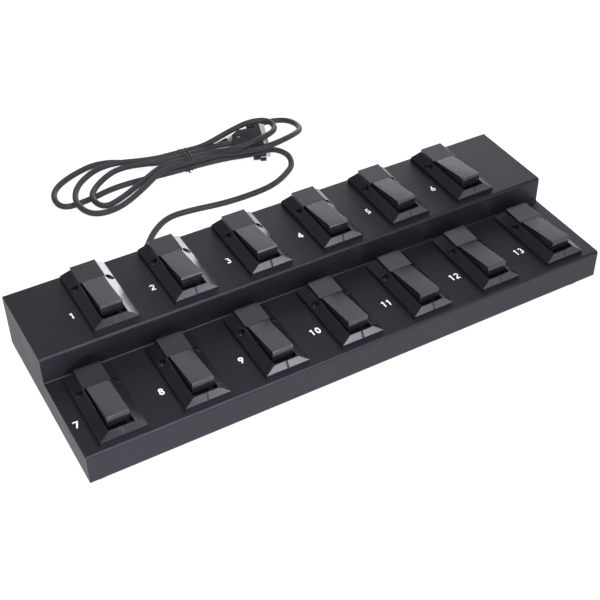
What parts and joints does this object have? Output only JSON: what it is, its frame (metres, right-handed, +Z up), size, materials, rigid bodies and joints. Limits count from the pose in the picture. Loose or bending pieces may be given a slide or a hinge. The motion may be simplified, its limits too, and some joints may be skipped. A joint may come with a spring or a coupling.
{
  "type": "foot pedal switch",
  "caption": "Stepped steel foot switch box with two rows of hinged spring-return pedals and a bundled multi-core cord with a wide connector.",
  "frame": {"origin": "on the floor under the middle of the housing", "axes": "+X along the rows of pedals to the right, +Y from the front edge to the rear, +Z up"},
  "size_m": [0.6, 0.4823, 0.0899],
  "materials": {
    "powder_coat": "satin black powder coat",
    "plate_coat": "thin matt black paint",
    "foot_rubber": "pale grey translucent bumper",
    "screw_steel": "black oxide",
    "pin_steel": "bright zinc",
    "base_plastic": "semi-gloss black moulding",
    "pedal_plastic": "semi-gloss black moulding",
    "spring_steel": "drawn spring wire",
    "board_laminate": "green solder mask",
    "switch_plastic": "moulded switch case",
    "ribbon_jacket": "grey ribbon cable",
    "cord_jacket": "charcoal flexible jacket",
    "gland_rubber": "black moulded strain relief",
    "tie_plastic": "coated wire tie",
    "hood_plastic": "fine textured black moulding",
    "shell_metal": "tin plated pressing",
    "contact_brass": "gold flashed contacts",
    "thumbscrew_metal": "nickel plated"
  },
  "bodies": {
    "chassis": {"housing": "powder_coat", "bottom_plate": "plate_coat", "rubber_feet": "foot_rubber", "plate_screws": "screw_steel", "hinge_pins": "pin_steel", "base_screws": "screw_steel", "board_front": "board_laminate", "board_rear": "board_laminate", "board_standoffs": "pin_steel", "board_screws": "pin_steel", "switches": "switch_plastic", "link_ribbon": "ribbon_jacket", "inner_cord": "cord_jacket", "cable_gland": "gland_rubber", "cord_lead": "cord_jacket", "cord_hank": "cord_jacket", "hank_tie": "tie_plastic", "plug_hood": "hood_plastic", "plug_shell": "shell_metal", "plug_pins": "contact_brass", "plug_thumbscrews": "thumbscrew_metal", "pedal_base_01": "base_plastic", "return_spring_01": "spring_steel", "pedal_base_02": "base_plastic", "return_spring_02": "spring_steel", "pedal_base_03": "base_plastic", "return_spring_03": "spring_steel", "pedal_base_04": "base_plastic", "return_spring_04": "spring_steel", "pedal_base_05": "base_plastic", "return_spring_05": "spring_steel", "pedal_base_06": "base_plastic", "return_spring_06": "spring_steel", "pedal_base_07": "base_plastic", "return_spring_07": "spring_steel", "pedal_base_08": "base_plastic", "return_spring_08": "spring_steel", "pedal_base_09": "base_plastic", "return_spring_09": "spring_steel", "pedal_base_10": "base_plastic", "return_spring_10": "spring_steel", "pedal_base_11": "base_plastic", "return_spring_11": "spring_steel", "pedal_base_12": "base_plastic", "return_spring_12": "spring_steel", "pedal_base_13": "base_plastic", "return_spring_13": "spring_steel"},
    "pedal_01": {"pedal_01": "pedal_plastic"},
    "pedal_02": {"pedal_02": "pedal_plastic"},
    "pedal_03": {"pedal_03": "pedal_plastic"},
    "pedal_04": {"pedal_04": "pedal_plastic"},
    "pedal_05": {"pedal_05": "pedal_plastic"},
    "pedal_06": {"pedal_06": "pedal_plastic"},
    "pedal_07": {"pedal_07": "pedal_plastic"},
    "pedal_08": {"pedal_08": "pedal_plastic"},
    "pedal_09": {"pedal_09": "pedal_plastic"},
    "pedal_10": {"pedal_10": "pedal_plastic"},
    "pedal_11": {"pedal_11": "pedal_plastic"},
    "pedal_12": {"pedal_12": "pedal_plastic"},
    "pedal_13": {"pedal_13": "pedal_plastic"}
  },
  "joints": [
    {"name": "pedal_01_press", "type": "hinge", "parent": "chassis", "child": "pedal_01", "pos_m": [-0.21575, 0.0786, 0.076], "axis": [1, 0, 0], "range_deg": [0, 5], "stiffness_Nm_per_rad": 1.2, "springref_deg": -11.46, "deforming": ["return_spring_01"]},
    {"name": "pedal_02_press", "type": "hinge", "parent": "chassis", "child": "pedal_02", "pos_m": [-0.12945, 0.0786, 0.076], "axis": [1, 0, 0], "range_deg": [0, 5], "stiffness_Nm_per_rad": 1.2, "springref_deg": -11.46, "deforming": ["return_spring_02"]},
    {"name": "pedal_03_press", "type": "hinge", "parent": "chassis", "child": "pedal_03", "pos_m": [-0.04315, 0.0786, 0.076], "axis": [1, 0, 0], "range_deg": [0, 5], "stiffness_Nm_per_rad": 1.2, "springref_deg": -11.46, "deforming": ["return_spring_03"]},
    {"name": "pedal_04_press", "type": "hinge", "parent": "chassis", "child": "pedal_04", "pos_m": [0.04315, 0.0786, 0.076], "axis": [1, 0, 0], "range_deg": [0, 5], "stiffness_Nm_per_rad": 1.2, "springref_deg": -11.46, "deforming": ["return_spring_04"]},
    {"name": "pedal_05_press", "type": "hinge", "parent": "chassis", "child": "pedal_05", "pos_m": [0.12945, 0.0786, 0.076], "axis": [1, 0, 0], "range_deg": [0, 5], "stiffness_Nm_per_rad": 1.2, "springref_deg": -11.46, "deforming": ["return_spring_05"]},
    {"name": "pedal_06_press", "type": "hinge", "parent": "chassis", "child": "pedal_06", "pos_m": [0.21575, 0.0786, 0.076], "axis": [1, 0, 0], "range_deg": [0, 5], "stiffness_Nm_per_rad": 1.2, "springref_deg": -11.46, "deforming": ["return_spring_06"]},
    {"name": "pedal_07_press", "type": "hinge", "parent": "chassis", "child": "pedal_07", "pos_m": [-0.2589, -0.0323, 0.045], "axis": [1, 0, 0], "range_deg": [0, 5], "stiffness_Nm_per_rad": 1.2, "springref_deg": -11.46, "deforming": ["return_spring_07"]},
    {"name": "pedal_08_press", "type": "hinge", "parent": "chassis", "child": "pedal_08", "pos_m": [-0.1726, -0.0323, 0.045], "axis": [1, 0, 0], "range_deg": [0, 5], "stiffness_Nm_per_rad": 1.2, "springref_deg": -11.46, "deforming": ["return_spring_08"]},
    {"name": "pedal_09_press", "type": "hinge", "parent": "chassis", "child": "pedal_09", "pos_m": [-0.0863, -0.0323, 0.045], "axis": [1, 0, 0], "range_deg": [0, 5], "stiffness_Nm_per_rad": 1.2, "springref_deg": -11.46, "deforming": ["return_spring_09"]},
    {"name": "pedal_10_press", "type": "hinge", "parent": "chassis", "child": "pedal_10", "pos_m": [0, -0.0323, 0.045], "axis": [1, 0, 0], "range_deg": [0, 5], "stiffness_Nm_per_rad": 1.2, "springref_deg": -11.46, "deforming": ["return_spring_10"]},
    {"name": "pedal_11_press", "type": "hinge", "parent": "chassis", "child": "pedal_11", "pos_m": [0.0863, -0.0323, 0.045], "axis": [1, 0, 0], "range_deg": [0, 5], "stiffness_Nm_per_rad": 1.2, "springref_deg": -11.46, "deforming": ["return_spring_11"]},
    {"name": "pedal_12_press", "type": "hinge", "parent": "chassis", "child": "pedal_12", "pos_m": [0.1726, -0.0323, 0.045], "axis": [1, 0, 0], "range_deg": [0, 5], "stiffness_Nm_per_rad": 1.2, "springref_deg": -11.46, "deforming": ["return_spring_12"]},
    {"name": "pedal_13_press", "type": "hinge", "parent": "chassis", "child": "pedal_13", "pos_m": [0.2589, -0.0323, 0.045], "axis": [1, 0, 0], "range_deg": [0, 5], "stiffness_Nm_per_rad": 1.2, "springref_deg": -11.46, "deforming": ["return_spring_13"]}
  ]
}
